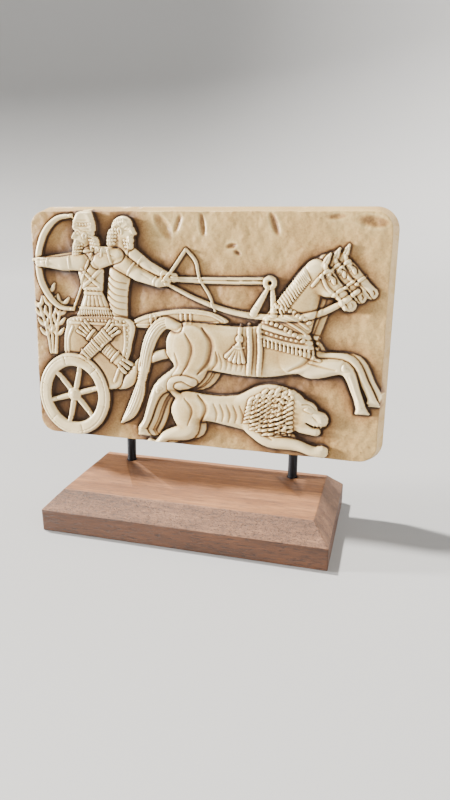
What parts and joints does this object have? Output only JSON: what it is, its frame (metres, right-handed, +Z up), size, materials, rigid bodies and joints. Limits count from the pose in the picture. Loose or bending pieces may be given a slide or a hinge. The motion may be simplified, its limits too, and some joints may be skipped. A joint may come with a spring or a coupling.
{
  "type": "relief plaque on stand",
  "caption": "Rounded cast relief panel of a chariot hunt, leaning back on two slim rods in a bevelled wooden base.",
  "frame": {"origin": "centre of the wooden base's underside, on the surface it stands on", "axes": "+X along the panel and the base, to the right as the relief is looked at; +Y from the carved face to the back; +Z up"},
  "size_m": [0.186, 0.069, 0.1505],
  "materials": {
    "cast_stone": "cream cast plaster with brown patina rubbed into the recesses",
    "black_steel": "satin black",
    "light_wood": "matt light brown, open grain"
  },
  "bodies": {
    "root": {"relief_panel": "cast_stone", "rod_left": "black_steel", "rod_right": "black_steel", "wooden_base": "light_wood"}
  },
  "joints": []
}
